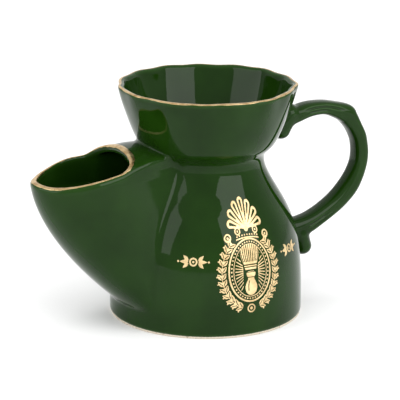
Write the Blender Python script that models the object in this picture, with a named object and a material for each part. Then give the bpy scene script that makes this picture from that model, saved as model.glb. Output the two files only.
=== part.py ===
"""Shaving scuttle mug: a glazed stoneware reservoir with a pouring spout, a soap bowl on its
neck, a strap handle, gilded rims and a gold transfer on the front.

Millimetres are used for every named size and turned into metres when a mesh is made.
The origin is on the body's axis at the table, +X points at the handle, -X at the spout,
-Y at the decorated front and +Z up. The pieces are the ones a potter joins: each is its
own closed solid, with a thin layer of slip in each joint.
"""

import bpy
import bmesh
from math import atan2, cos, hypot, pi, radians, sin, sqrt

MM = 0.001
GAP = 0.3                    # clearance between neighbouring solids

# Driving dimensions, in millimetres.
RIM_HEIGHT = 108.9           # top of the soap bowl under its gilding
GILDING_HEIGHT = 0.5
GILDING_INSET = 0.3          # bare rim left on each side of the gilding
GILDING_BEVEL = 0.3
GILDING_LIFT = 0.1           # more clearance where the spout's rim is curved
WALL = 3.2
SLIP_THICKNESS = 0.7
NECK_SLIP_INSET = 0.4
SHARP_ANGLE = 35.0           # degrees

FOOT_RADIUS = 44.4
FOOT_INNER_RADIUS = 38.4
FOOT_HEIGHT = 1.5
FOOT_CHAMFER = 0.5

# Outline of the bell-shaped reservoir: radius and height, from the foot to the neck.
BELL_OUTLINE = [(44.6, 1.8), (45.2, 4.0), (45.2, 20.0), (44.4, 29.0), (43.0, 38.0),
                (40.4, 46.5), (36.9, 53.5), (32.8, 60.0), (29.2, 66.0), (27.0, 71.0),
                (26.6, 74.2), (27.0, 76.6)]
BELL_INNER_OUTLINE = [(23.6, 76.6), (23.6, 71.0), (26.2, 65.6), (29.8, 59.6), (33.9, 53.0),
                      (37.4, 46.0), (39.8, 38.0), (41.2, 29.0), (42.0, 20.0), (42.0, 9.0),
                      (38.5, 5.6)]
BELL_SEGMENTS = 56
BELL_STRAIGHT_HEIGHT = 20.0  # the wall stands straight up to here

# Outline of the soap bowl: radius and height, from its seat on the neck to the rim.
BOWL_SEAT_HEIGHT = 77.9
BOWL_FLOOR = 81.6
BOWL_OUTLINE = [(27.3, 77.9), (28.8, 78.9), (30.9, 80.8), (32.7, 83.4), (35.2, 88.6),
                (38.0, 96.4), (40.2, 103.0), (41.5, 108.9)]
BOWL_INNER_OUTLINE = [(38.4, 108.9), (36.9, 102.6), (34.7, 96.2), (31.8, 88.8),
                      (28.6, 84.0), (25.0, 81.6)]
BOWL_SEGMENTS = 72
RIM_LOBES = 15
RIM_LOBE_DEPTH = 0.55
DRAIN_HOLE_RADIUS = 1.7
DRAIN_HOLE_COUNT = 6
DRAIN_CIRCLE_RADIUS = 13.0
CUT_MARGIN = 2.0             # how far a cutter passes the faces that it cuts

# Spout: horizontal slices are half ellipses whose nose follows the keel.
SPOUT_TIP = -87.3
SPOUT_TIP_HEIGHT = 72.0
KEEL_ROOT = -45.0
KEEL_ROOT_HEIGHT = 8.8
KEEL_FULLNESS = 1.64
SPOUT_HALF_WIDTH = 22.0
SPOUT_ROOT_HALF_WIDTH = 24.0
SPOUT_WIDEST = -58.0
SPOUT_ROOT_CENTRE = -34.0    # centre of the lowest slice
SPOUT_CENTRE_POWER = 0.75    # how soon the slices' centres move out with height
SPOUT_INNER_END = -17.0
SPOUT_NECK_HALF_WIDTH = 14.6
SPOUT_NECKING = (30.0, 76.0)             # heights between which the inner end narrows
SPOUT_LEVELS = [12.0, 18.0, 25.0, 33.0, 42.0, 51.0, 60.0, 67.0, 71.0]
SPOUT_SKIN_BOTTOM = 6.8
SPOUT_CAVITY_BOTTOM = 15.0
SPOUT_LIP = 3.4
MOUTH_INNER_END = -43.6
MOUTH_CUT_LEVELS = [60.0, 66.0, 72.0, 100.0]
DECK_CROWN = 0.0108          # fall of the deck, in mm per mm squared from the middle
PORT_LEVELS = [16.0, 22.0, 30.0, 40.0, 50.0, 60.0]   # port from the spout into the reservoir

# Height of the spout's upper surface along its middle line, from the tip to the bowl.
DECK_LINE = [(-87.3, 71.0), (-82.8, 71.8), (-77.5, 73.9), (-71.6, 76.2), (-64.6, 78.6),
             (-57.8, 80.2), (-52.0, 81.3), (-46.0, 82.8), (-41.0, 83.3), (-34.0, 83.8),
             (-17.0, 83.4)]

# Handle: outer and inner edge of the strap in its own plane, from the bowl to the body.
HANDLE_OUTER = [(35.0, 92.5), (46.6, 94.0), (54.0, 95.2), (61.0, 95.2), (68.2, 93.8),
                (75.4, 91.2), (79.6, 84.6), (83.2, 78.4), (84.9, 72.2), (85.4, 67.2),
                (84.8, 61.8), (83.0, 55.7), (80.0, 49.8), (74.2, 43.4), (68.0, 38.6),
                (61.6, 34.4), (56.2, 31.2), (48.0, 27.0), (38.0, 24.0)]
HANDLE_INNER = [(35.0, 82.0), (45.6, 84.6), (52.4, 87.0), (60.4, 87.8), (66.4, 86.0),
                (71.6, 82.6), (75.4, 77.8), (77.2, 73.4), (77.7, 70.0), (77.8, 66.4),
                (77.1, 62.0), (74.6, 56.8), (70.9, 51.9), (66.0, 47.3), (61.0, 44.0),
                (55.9, 41.4), (51.0, 39.6), (45.0, 38.8), (38.0, 38.4)]
STRAP_HALF_WIDTH = 5.5
STRAP_SIDES = 14
STRAP_SQUARENESS = 2.6       # 2 is an ellipse, more is squarer
HANDLE_MIDDLE_HEIGHT = 60.0  # parts the handle's upper joint from its lower one
LOBE_END_RINGS = 4
LOBE_END_FLAT = 0.4          # share of a ring spacing that each lobe's end is cut off by
# Rounded lobes where the strap meets the mug: each end's (x, z), then radius and half width.
TOP_LOBE = ((42.2, 91.0), (38.3, 83.2), 4.6, 5.9)
BASE_LOBE = ((50.4, 33.0), (49.9, 24.4), 4.9, 6.0)

# Gold transfer on the front: a brush in an oval, between laurels. Heights above the table.
TRANSFER_THICKNESS = 0.4
EMBLEM_HEIGHT = 33.0
OVAL_HALF_WIDTH = 10.4
OVAL_HALF_HEIGHT = 15.6
OVAL_BAND = 0.9
LAUREL_HALF_WIDTH = 14.6
LAUREL_HALF_HEIGHT = 20.4
LAUREL_LEAVES = 9
LAUREL_START = 20.0          # degrees either side of the bottom
LAUREL_END = 150.0
LAUREL_STEM_HALF_WIDTH = 0.35
LEAF_LENGTH = 4.6
LEAF_HALF_WIDTH = 1.15
LEAF_LEAN = 38.0             # degrees between a leaf and its stem
LEAF_WIDEST = 0.45           # share of the leaf's length
SIDE_MOTIF_ARC = 29.0        # distance round the body from the middle of the front
SIDE_MOTIF_HEIGHT = 33.5
ROUNDEL_HEIGHT = 9.2
ROUNDEL_RADIUS = 1.7

# Right halves of the symmetric motifs: distance from the middle line and height.
BRUSH_HANDLE = [(0.0, 31.4), (1.4, 31.2), (2.0, 30.0), (1.5, 27.6), (2.4, 24.4), (2.2, 21.6),
                (1.3, 20.3), (0.0, 20.0)]
BRUSH_COLLAR = [(0.0, 34.0), (2.9, 33.8), (2.6, 32.2), (0.0, 32.0)]
BRUSH_BRISTLES = [(0.0, 46.2), (1.6, 46.0), (3.3, 45.1), (4.7, 43.4), (5.0, 41.6), (4.3, 38.0),
                  (3.1, 34.7), (0.0, 34.6)]
PALMETTE = [(0.0, 60.8), (1.3, 58.4), (1.0, 55.8), (3.2, 57.8), (5.2, 57.6), (4.4, 55.4),
            (2.2, 53.8), (5.0, 53.6), (6.2, 52.2), (4.2, 51.4), (1.6, 51.8), (0.0, 51.0)]
LOZENGE = [(0.0, 2.2), (1.0, 0.7), (4.6, 0.25), (4.6, -0.25), (1.0, -0.7), (0.0, -2.2)]

GLAZE_GREEN = (0.024, 0.062, 0.020)
GOLD = (0.80, 0.55, 0.27)
BARE_CLAY = (0.62, 0.52, 0.40)


def clear_scene():
    for item in list(bpy.data.objects):
        bpy.data.objects.remove(item, do_unlink=True)


def make_material(name, color, roughness, metallic):
    material = bpy.data.materials.new(name)
    material.use_nodes = True
    shader = material.node_tree.nodes["Principled BSDF"]
    shader.inputs["Base Color"].default_value = (*color, 1.0)
    shader.inputs["Roughness"].default_value = roughness
    shader.inputs["Metallic"].default_value = metallic
    return material


def glaze(name):
    return make_material(name + "_glaze", GLAZE_GREEN, 0.08, 0.0)


def gold(name):
    return make_material(name + "_gold", GOLD, 0.3, 1.0)


def make_object(name, points, faces, material=None):
    """One mesh object from points in millimetres, with its faces turned outwards."""
    mesh = bpy.data.meshes.new(name)
    mesh.from_pydata([(x * MM, y * MM, z * MM) for x, y, z in points], [], faces)
    shape = bmesh.new()
    shape.from_mesh(mesh)
    bmesh.ops.recalc_face_normals(shape, faces=shape.faces)
    if shape.calc_volume(signed=True) < 0.0:
        bmesh.ops.reverse_faces(shape, faces=shape.faces)
    shape.to_mesh(mesh)
    shape.free()
    mesh.shade_smooth()
    mesh.set_sharp_from_angle(angle=radians(SHARP_ANGLE))
    item = bpy.data.objects.new(name, mesh)
    bpy.context.scene.collection.objects.link(item)
    if material:
        mesh.materials.append(material)
    return item


def make_cutter(name, points, faces):
    item = make_object(name, points, faces)
    item.hide_render = True
    item.display_type = "WIRE"
    return item


def boolean(item, tool, operation="DIFFERENCE"):
    modifier = item.modifiers.new(operation.lower() + "_" + tool.name, "BOOLEAN")
    modifier.operation = operation
    modifier.object = tool
    modifier.solver = "EXACT"
    modifier.show_render = modifier.show_viewport


def smooth_line(points, steps):
    """Points on a Catmull-Rom curve through the given ones, with steps spans between each two."""
    line = []
    for i in range(len(points) - 1):
        before = points[max(i - 1, 0)]
        start, end = points[i], points[i + 1]
        after = points[min(i + 2, len(points) - 1)]
        for step in range(steps):
            t = step / steps
            line.append(tuple(
                0.5 * (2 * b + (c - a) * t + (2 * a - 5 * b + 4 * c - d) * t * t
                       + (3 * b - a - 3 * c + d) * t ** 3)
                for a, b, c, d in zip(before, start, end, after)))
    line.append(tuple(points[-1]))
    return line


def mix(start, end, share):
    return start + (end - start) * share


def share_of(value, low, high):
    """How far a value is from low to high, kept between 0 and 1."""
    return min(max((value - low) / (high - low), 0.0), 1.0)


def value_at(line, x):
    """Height on a line of (x, height) points, straight between them."""
    if x <= line[0][0]:
        return line[0][1]
    for (x0, z0), (x1, z1) in zip(line, line[1:]):
        if x <= x1:
            return mix(z0, z1, (x - x0) / (x1 - x0))
    return line[-1][1]


def grid_faces(rows, columns, wrap_rows, wrap_columns):
    faces = []
    for row in range(rows if wrap_rows else rows - 1):
        for column in range(columns if wrap_columns else columns - 1):
            next_row = (row + 1) % rows
            next_column = (column + 1) % columns
            faces.append((row * columns + column, row * columns + next_column,
                          next_row * columns + next_column, next_row * columns + column))
    return faces


def lofted(rings):
    """Points and faces of a closed skin through rings of equal count, capped at both ends."""
    count = len(rings[0])
    points = [point for ring in rings for point in ring]
    faces = grid_faces(len(rings), count, False, True)
    faces.append(tuple(range(count)))
    faces.append(tuple((len(rings) - 1) * count + i for i in range(count)))
    return points, faces


def turned(outline, segments, ripple=None):
    """Rings of an outline turned round Z; ripple(angle, radius, height) gives the radius at
    an angle."""
    rings = []
    for radius, height in outline:
        ring = []
        for segment in range(segments):
            angle = 2 * pi * segment / segments
            reach = ripple(angle, radius, height) if ripple else radius
            ring.append((reach * cos(angle), reach * sin(angle), height))
        rings.append(ring)
    return rings


def turned_solid(outline, segments, ripple=None):
    """A turned solid whose outline's first and last rings are closed by flat discs."""
    return lofted(turned(outline, segments, ripple))


def turned_ring(outline, segments, ripple=None):
    """A turned ring, from a closed outline that stays off the axis."""
    rings = turned(outline, segments, ripple)
    points = [point for ring in rings for point in ring]
    return points, grid_faces(len(rings), segments, True, True)


def rim_ripple(angle, radius, height):
    """Soft lobes that fade in towards the rim of the bowl."""
    rise = share_of(height, BOWL_FLOOR, RIM_HEIGHT)
    return radius + RIM_LOBE_DEPTH * rise ** 3 * cos(RIM_LOBES * angle)


def grown(outline, amount):
    return [(radius + amount, height) for radius, height in outline]


def bell_radius(height):
    """Outer radius of the reservoir at a height."""
    return value_at([(z, r) for r, z in smooth_line(BELL_OUTLINE, 3)], height)


# Reservoir and foot --------------------------------------------------------------------

def build_foot_ring():
    outline = [(FOOT_INNER_RADIUS, 0.0), (FOOT_RADIUS - FOOT_CHAMFER, 0.0),
               (FOOT_RADIUS, FOOT_CHAMFER), (FOOT_RADIUS, FOOT_HEIGHT),
               (FOOT_INNER_RADIUS, FOOT_HEIGHT)]
    points, faces = turned_ring(outline, BELL_SEGMENTS)
    clay = make_material("bare_clay", BARE_CLAY, 0.85, 0.0)
    return make_object("foot_ring", points, faces, clay)


def build_reservoir():
    """Bell-shaped pot: the outer skin up to the neck, then the inner skin down to the floor."""
    outline = BELL_OUTLINE + BELL_INNER_OUTLINE
    points, faces = turned_solid(outline, BELL_SEGMENTS)
    item = make_object("reservoir_body", points, faces, glaze("reservoir"))
    boolean(item, build_port_cutter())
    return item


# Spout ---------------------------------------------------------------------------------

def keel_x(height):
    """The spout's nose at a height."""
    drop = 1.0 - share_of(height, KEEL_ROOT_HEIGHT, SPOUT_TIP_HEIGHT)
    return mix(SPOUT_TIP, KEEL_ROOT, drop ** KEEL_FULLNESS)


def spout_slice(height, inset):
    """Half outline of a horizontal slice: centre x, nose length and half width."""
    rise = share_of(height, KEEL_ROOT_HEIGHT, SPOUT_TIP_HEIGHT)
    centre = mix(SPOUT_ROOT_CENTRE, SPOUT_WIDEST, rise ** SPOUT_CENTRE_POWER)
    slant = (keel_x(height + 1.0) - keel_x(height - 1.0)) / 2.0
    nose = centre - keel_x(height) - inset * sqrt(1.0 + slant * slant)
    width = mix(SPOUT_ROOT_HALF_WIDTH, SPOUT_HALF_WIDTH, rise) - inset
    return centre, max(nose, 1.0), width


def spout_ring(height, inset, nose_points=9, side_points=6):
    """Slice outline from the nose along +Y to the inner end, and back along -Y."""
    centre, nose, width = spout_slice(height, inset)
    necking = share_of(height, *SPOUT_NECKING)
    end_width = mix(SPOUT_ROOT_HALF_WIDTH, SPOUT_NECK_HALF_WIDTH, necking) - inset
    half = []
    for i in range(1, nose_points + 1):
        angle = 0.5 * pi * i / nose_points
        half.append((centre - nose * cos(angle), width * sin(angle)))
    for i in range(1, side_points + 1):
        t = i / side_points
        ease = t * t * (3.0 - 2.0 * t)
        half.append((mix(centre, SPOUT_INNER_END, t), mix(width, end_width, ease)))
    tip = [(centre - nose, 0.0)]
    return tip + half + [(x, -y) for x, y in reversed(half)]


def deck_height(x, y):
    return value_at(smooth_line(DECK_LINE, 3), x) - DECK_CROWN * y * y


def spout_solid(inset, bottom, top_drop):
    """Closed horn: tilted slices from the keel's root up to the crowned deck."""
    levels = [bottom] + [level for level in SPOUT_LEVELS if level > bottom + 2.0]
    summit = levels[-1]
    edge = [deck_height(x, y) - top_drop - summit for x, y in spout_ring(summit, inset)]
    rings = []
    for level in levels:
        tilt = share_of(level, bottom, summit) ** 2
        ring = spout_ring(level, inset)
        rings.append([(x, y, level + tilt * rise) for (x, y), rise in zip(ring, edge)])
    return crowned(rings, top_drop)


def crowned(rings, top_drop, spans=6):
    """Skin through the rings, closed by a flat base and a crowned deck of cross rows."""
    count = len(rings[0])
    points = [point for ring in rings for point in ring]
    faces = grid_faces(len(rings), count, False, True)
    faces.append(tuple(range(count)))
    first = len(points) - count
    half = (count - 1) // 2
    rows = [[first] * (spans + 1)]
    for k in range(1, half):
        x, y, _ = rings[-1][k]
        row = [first + k]
        for j in range(1, spans):
            side = y * (1.0 - 2.0 * j / spans)
            points.append((x, side, deck_height(x, side) - top_drop))
            row.append(len(points) - 1)
        row.append(first + count - k)
        rows.append(row)
    rows.append([first + half] * (spans // 2) + [first + half + 1] * (spans - spans // 2 + 1))
    for low, high in zip(rows, rows[1:]):
        for j in range(spans):
            face = tuple(dict.fromkeys((low[j], low[j + 1], high[j + 1], high[j])))
            faces.append(face)
    return points, faces


def build_port_cutter():
    """The lower hollow of the spout, which opens the reservoir's wall."""
    rings = [[(x, y, level) for x, y in spout_ring(level, WALL)] for level in PORT_LEVELS]
    points, faces = lofted(rings)
    return make_cutter("port_cutter", points, faces)


def build_spout_cavity(name):
    points, faces = spout_solid(WALL, SPOUT_CAVITY_BOTTOM, WALL)
    return make_cutter(name, points, faces)


def mouth_outline(inset, inner_end, height=SPOUT_TIP_HEIGHT, count=40):
    """Egg-shaped outline of the mouth: the nose's ellipse, closed by a shorter one."""
    centre, nose, width = spout_slice(height, inset)
    outline = []
    for i in range(count):
        angle = 2 * pi * i / count
        reach = nose if cos(angle) > 0 else inner_end - centre
        outline.append((centre - reach * cos(angle), width * sin(angle)))
    return outline


def build_mouth_cutter():
    rings = []
    for level in MOUTH_CUT_LEVELS:
        outline = mouth_outline(SPOUT_LIP, MOUTH_INNER_END, min(level, SPOUT_TIP_HEIGHT))
        rings.append([(x, y, level) for x, y in outline])
    points, faces = lofted(rings)
    return make_cutter("mouth_cutter", points, faces)


def build_spout():
    points, faces = spout_solid(0.0, SPOUT_SKIN_BOTTOM, 0.0)
    item = make_object("spout_horn", points, faces, glaze("spout"))
    boolean(item, build_spout_cavity("spout_cavity"))
    boolean(item, build_mouth_cutter())
    boolean(item, build_mug_envelope("spout_seat", GAP + SLIP_THICKNESS + GAP))
    return item


# Soap bowl -----------------------------------------------------------------------------

def build_soap_bowl():
    outline = BOWL_OUTLINE + BOWL_INNER_OUTLINE
    points, faces = turned_solid(outline, BOWL_SEGMENTS, rim_ripple)
    item = make_object("soap_bowl", points, faces, glaze("bowl"))
    for hole in range(DRAIN_HOLE_COUNT + 1):
        angle = 2 * pi * hole / DRAIN_HOLE_COUNT
        reach = DRAIN_CIRCLE_RADIUS if hole < DRAIN_HOLE_COUNT else 0.0
        boolean(item, build_drain_cutter(hole, reach * cos(angle), reach * sin(angle)))
    return item


def build_drain_cutter(number, x, y):
    outline = [(DRAIN_HOLE_RADIUS, BOWL_SEAT_HEIGHT - CUT_MARGIN),
               (DRAIN_HOLE_RADIUS, BOWL_FLOOR + CUT_MARGIN)]
    points, faces = turned_solid(outline, 10)
    item = make_cutter("drain_cutter_%d" % (number + 1), points, faces)
    item.location = (x * MM, y * MM, 0.0)
    return item


# Handle --------------------------------------------------------------------------------

def section_ring(x, z, across_x, across_z, half_width):
    """Rounded-oblong section: an axis in the handle's plane and half the width along Y."""
    ring = []
    for side in range(STRAP_SIDES):
        angle = 2 * pi * side / STRAP_SIDES
        c, s = cos(angle), sin(angle)
        fullness = (abs(c) ** STRAP_SQUARENESS
                    + abs(s) ** STRAP_SQUARENESS) ** (-1 / STRAP_SQUARENESS)
        ring.append((x + across_x * c * fullness, half_width * s * fullness,
                     z + across_z * c * fullness))
    return ring


def strap_solid():
    rings = []
    outer, inner = smooth_line(HANDLE_OUTER, 2), smooth_line(HANDLE_INNER, 2)
    for (ox, oz), (ix, iz) in zip(outer, inner):
        rings.append(section_ring((ox + ix) / 2, (oz + iz) / 2, (ox - ix) / 2, (oz - iz) / 2,
                                  STRAP_HALF_WIDTH))
    return lofted(rings)


def lobe_solid(start, end, radius, half_width):
    """A straight lobe with round ends: its axis lies in the handle's plane."""
    length = hypot(end[0] - start[0], end[1] - start[1])
    along_x, along_z = (end[0] - start[0]) / length, (end[1] - start[1]) / length
    stations = []
    for centre, side in ((start, -1), (end, 1)):
        for i in range(LOBE_END_RINGS):
            order = i if side > 0 else LOBE_END_RINGS - 1 - i
            turn = 0.5 * pi * (order + LOBE_END_FLAT) / LOBE_END_RINGS
            reach = side * radius * sin(turn)
            stations.append((centre[0] + along_x * reach, centre[1] + along_z * reach, cos(turn)))
    rings = [section_ring(x, z, -along_z * radius * size, along_x * radius * size,
                          half_width * size) for x, z, size in stations]
    return lofted(rings)


def handle_shape(name):
    points, faces = strap_solid()
    item = make_object(name, points, faces)
    for lobe_name, lobe in (("top_lobe", TOP_LOBE), ("base_lobe", BASE_LOBE)):
        lobe_points, lobe_faces = lobe_solid(*lobe)
        boolean(item, make_cutter(name + "_" + lobe_name, lobe_points, lobe_faces), "UNION")
    return item


def build_handle():
    item = handle_shape("handle")
    item.data.materials.append(glaze("handle"))
    boolean(item, build_mug_envelope("handle_seat", GAP + SLIP_THICKNESS + GAP))
    return item


# Joints --------------------------------------------------------------------------------

def build_mug_envelope(name, growth):
    """The outside of the reservoir and bowl as one turned solid, grown by an amount."""
    outline = [(FOOT_RADIUS + growth, -1.0)] + grown(BELL_OUTLINE, growth)
    outline += grown(BOWL_OUTLINE, growth)
    outline.append((BOWL_OUTLINE[-1][0] + growth, RIM_HEIGHT + CUT_MARGIN))
    points, faces = turned_solid(outline, BELL_SEGMENTS)
    return make_cutter(name, points, faces)


def build_slip_joint(name, item, low, high):
    """Trim a copy of a piece to the thin layer of slip between it and the mug's wall."""
    item.data.materials.append(glaze(name))
    reach = -SPOUT_TIP + CUT_MARGIN
    square = [(-reach, -reach), (reach, -reach), (reach, reach), (-reach, reach)]
    points, faces = lofted([[(x, y, z) for x, y in square] for z in (low, high)])
    boolean(item, make_cutter(name + "_range", points, faces), "INTERSECT")
    boolean(item, build_mug_envelope(name + "_outside", GAP + SLIP_THICKNESS), "INTERSECT")
    boolean(item, build_mug_envelope(name + "_inside", GAP))
    return item


def build_slip_joints():
    points, faces = spout_solid(0.0, SPOUT_SKIN_BOTTOM, 0.0)
    spout_joint = make_object("spout_joint", points, faces)
    boolean(spout_joint, build_spout_cavity("spout_joint_cavity"))
    build_slip_joint("spout_joint", spout_joint, 0.0, RIM_HEIGHT)
    for name, low, high in (("handle_top_joint", HANDLE_MIDDLE_HEIGHT, RIM_HEIGHT),
                            ("handle_base_joint", 0.0, HANDLE_MIDDLE_HEIGHT)):
        build_slip_joint(name, handle_shape(name), low, high)


def build_neck_joint():
    low = BELL_OUTLINE[-1][1] + GAP
    high = BOWL_SEAT_HEIGHT - GAP
    inner = BELL_INNER_OUTLINE[0][0] + NECK_SLIP_INSET
    outer = BELL_OUTLINE[-1][0] - NECK_SLIP_INSET
    outline = [(inner, low), (outer, low), (outer, high), (inner, high)]
    points, faces = turned_ring(outline, BELL_SEGMENTS)
    return make_object("neck_joint", points, faces, glaze("neck_joint"))


# Gilding -------------------------------------------------------------------------------

def build_bowl_gilding():
    low = RIM_HEIGHT + GAP
    high = low + GILDING_HEIGHT
    inner = BOWL_INNER_OUTLINE[0][0] + GILDING_INSET
    outer = BOWL_OUTLINE[-1][0] - GILDING_INSET
    outline = [(inner, low), (outer, low), (outer - GILDING_BEVEL, high),
               (inner + GILDING_BEVEL, high)]
    points, faces = turned_ring(outline, BOWL_SEGMENTS, rim_ripple)
    return make_object("bowl_gilding", points, faces, gold("bowl_gilding"))


def build_spout_gilding():
    """A flat band of gold laid over the lip of the mouth."""
    inside = mouth_outline(SPOUT_LIP - GILDING_INSET, MOUTH_INNER_END + GILDING_INSET)
    outside = mouth_outline(GILDING_INSET, MOUTH_INNER_END + SPOUT_LIP - GILDING_INSET)
    low = GAP + GILDING_LIFT
    high = low + GILDING_HEIGHT
    rings = []
    for outline, lift in ((inside, low), (outside, low), (outside, high), (inside, high)):
        rings.append([(x, y, deck_height(x, y) + lift) for x, y in outline])
    points = [point for ring in rings for point in ring]
    faces = grid_faces(len(rings), len(inside), True, True)
    return make_object("spout_gilding", points, faces, gold("spout_gilding"))


# Transfer on the front -----------------------------------------------------------------

def wrapped(across, height, depth):
    """A point of the flat transfer, wrapped round the front of the bell."""
    radius = bell_radius(height) + GAP + depth
    angle = across / bell_radius(BELL_STRAIGHT_HEIGHT)
    return radius * sin(angle), -radius * cos(angle), height


def flat_motif(name, outline):
    """A thin gold island from a closed flat outline of (across, height) points."""
    shape = bmesh.new()
    corners = [shape.verts.new((u, v, 0.0)) for u, v in outline]
    face = shape.faces.new(corners)
    face.normal_update()
    bmesh.ops.triangulate(shape, faces=[face])
    shape.verts.index_update()
    triangles = [tuple(vert.index for vert in part.verts) for part in shape.faces]
    shape.free()
    count = len(outline)
    points = [wrapped(u, v, 0.0) for u, v in outline]
    points += [wrapped(u, v, TRANSFER_THICKNESS) for u, v in outline]
    faces = [tuple(reversed(part)) for part in triangles]
    faces += [tuple(corner + count for corner in part) for part in triangles]
    faces += [(i, (i + 1) % count, (i + 1) % count + count, i + count) for i in range(count)]
    return make_object(name, points, faces, gold(name))


def ring_motif(name, half_width, half_height, band, count):
    rings = []
    for reach, depth in ((0.0, 0.0), (band, 0.0), (band, TRANSFER_THICKNESS),
                         (0.0, TRANSFER_THICKNESS)):
        rings.append([wrapped((half_width - reach) * cos(2 * pi * i / count),
                              EMBLEM_HEIGHT + (half_height - reach) * sin(2 * pi * i / count),
                              depth) for i in range(count)])
    points = [point for ring in rings for point in ring]
    return make_object(name, points, grid_faces(4, count, True, True), gold(name))


def leaf_points(x, y, lean, turn):
    """A leaf from its stalk at (x, y): the side that faces turn, its tip and its other side."""
    swell = lean + turn * pi / 2
    widest_x = x + LEAF_WIDEST * LEAF_LENGTH * cos(lean)
    widest_y = y + LEAF_WIDEST * LEAF_LENGTH * sin(lean)
    return [(widest_x + LEAF_HALF_WIDTH * cos(swell), widest_y + LEAF_HALF_WIDTH * sin(swell)),
            (x + LEAF_LENGTH * cos(lean), y + LEAF_LENGTH * sin(lean)),
            (widest_x - 0.5 * LEAF_HALF_WIDTH * cos(swell),
             widest_y - 0.5 * LEAF_HALF_WIDTH * sin(swell))]


def laurel_path():
    """The stem of the right branch, from its foot to its tip."""
    path = []
    steps = LAUREL_LEAVES * 2
    for i in range(steps + 1):
        angle = radians(mix(LAUREL_START, LAUREL_END, i / steps) - 90.0)
        path.append((LAUREL_HALF_WIDTH * cos(angle),
                     EMBLEM_HEIGHT + LAUREL_HALF_HEIGHT * sin(angle)))
    return path


def laurel_outline():
    """The right branch: up the leaves of its outer side and down those of its inner side."""
    path = laurel_path()
    edges = []
    for turn in (-1, 1):
        edge = []
        for i, ((x0, y0), (x1, y1)) in enumerate(zip(path, path[1:])):
            heading = atan2(y1 - y0, x1 - x0)
            off = heading + turn * pi / 2
            edge.append((x0 + LAUREL_STEM_HALF_WIDTH * cos(off),
                         y0 + LAUREL_STEM_HALF_WIDTH * sin(off)))
            if i % 2 == 0:
                edge += leaf_points(x0, y0, heading + turn * radians(LEAF_LEAN), turn)
        edges.append(edge)
    return edges[0] + [path[-1]] + edges[1][::-1]


def mirrored(half):
    """A closed outline symmetric about the middle line, from its right half."""
    return half + [(-x, y) for x, y in reversed(half) if abs(x) > 1e-6]


def build_transfer():
    ring_motif("oval_border", OVAL_HALF_WIDTH, OVAL_HALF_HEIGHT, OVAL_BAND, 40)
    laurel = laurel_outline()
    flat_motif("laurel_right", laurel)
    flat_motif("laurel_left", [(-x, y) for x, y in reversed(laurel)])
    for name, half in (("brush_handle", BRUSH_HANDLE), ("brush_collar", BRUSH_COLLAR),
                       ("brush_bristles", BRUSH_BRISTLES), ("palmette", PALMETTE)):
        flat_motif(name, mirrored(half))
    for name, across in (("side_motif_left", -SIDE_MOTIF_ARC), ("side_motif_right", SIDE_MOTIF_ARC)):
        flat_motif(name, [(x + across, y + SIDE_MOTIF_HEIGHT) for x, y in mirrored(LOZENGE)])
    turns = [2 * pi * i / 14 for i in range(14)]
    flat_motif("lower_roundel", [(ROUNDEL_RADIUS * cos(turn),
                                  ROUNDEL_HEIGHT + ROUNDEL_RADIUS * sin(turn)) for turn in turns])


def main():
    clear_scene()
    build_foot_ring()
    build_reservoir()
    build_spout()
    build_soap_bowl()
    build_neck_joint()
    build_handle()
    build_slip_joints()
    build_bowl_gilding()
    build_spout_gilding()
    build_transfer()


main()
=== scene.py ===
"""Looks of the shaving scuttle mug: glazed stoneware with gilded rims and a gold transfer.

Every surface of the mug is described by a field, negative inside, in millimetres. A field is
turned into a mesh by surface nets. A solid's points are then moved onto its exact surface, and
the flat shapes of the gold transfer are wrapped round the body.
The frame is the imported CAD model's: origin on the body's axis at the table, +X towards the
handle, -X towards the spout, -Y towards the decorated front and +Z up.
"""

from math import cos, pi, radians, sin

import bpy
import numpy as np
from mathutils import Matrix, Vector


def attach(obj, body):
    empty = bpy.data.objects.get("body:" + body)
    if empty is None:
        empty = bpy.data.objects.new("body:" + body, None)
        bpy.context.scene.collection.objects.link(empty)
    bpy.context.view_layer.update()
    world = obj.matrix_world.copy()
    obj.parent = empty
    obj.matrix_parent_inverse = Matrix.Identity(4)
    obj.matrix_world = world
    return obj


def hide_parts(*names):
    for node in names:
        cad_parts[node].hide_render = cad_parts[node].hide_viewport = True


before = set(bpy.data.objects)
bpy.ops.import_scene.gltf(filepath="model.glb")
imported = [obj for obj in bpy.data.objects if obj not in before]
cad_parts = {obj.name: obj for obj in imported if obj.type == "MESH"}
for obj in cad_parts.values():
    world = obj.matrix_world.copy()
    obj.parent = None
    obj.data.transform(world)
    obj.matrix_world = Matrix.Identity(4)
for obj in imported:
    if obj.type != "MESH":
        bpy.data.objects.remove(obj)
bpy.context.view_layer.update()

MM = 0.001
FAR = 1000.0

# Body, the CAD's or close to it: outlines are (radius, height) in millimetres.
RIM_HEIGHT = 109.2
WALL = 3.2
FOOT_RADIUS = 44.8
FOOT_INNER_RADIUS = 38.4
BELL_OUTLINE = [(45.2, 4.0), (45.2, 20.0), (44.4, 29.0), (43.0, 38.0), (40.4, 46.5),
                (36.9, 53.5), (32.8, 60.0), (29.2, 66.0), (27.0, 71.0), (26.6, 74.2),
                (27.0, 76.6)]
BELL_INNER_OUTLINE = [(23.6, 76.6), (23.6, 71.0), (26.2, 65.6), (29.8, 59.6), (33.9, 53.0),
                      (37.4, 46.0), (39.8, 38.0), (41.2, 29.0), (42.0, 20.0), (42.0, 9.0),
                      (38.5, 5.6)]
BELL_FLOOR = 5.6
RECESS_HEIGHT = 3.0          # underside of the floor, inside the foot ring
RECESS_RADIUS = 36.6
BELL_FOOT = [(0.0, RECESS_HEIGHT), (RECESS_RADIUS, RECESS_HEIGHT), (37.8, 2.4), (38.6, 1.2),
             (44.4, 0.8), (45.0, 1.2), (45.2, 2.0)]
BELL_TOP = [(27.0, 79.0), (0.0, 79.0)]           # closed inside the bowl's floor
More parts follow.
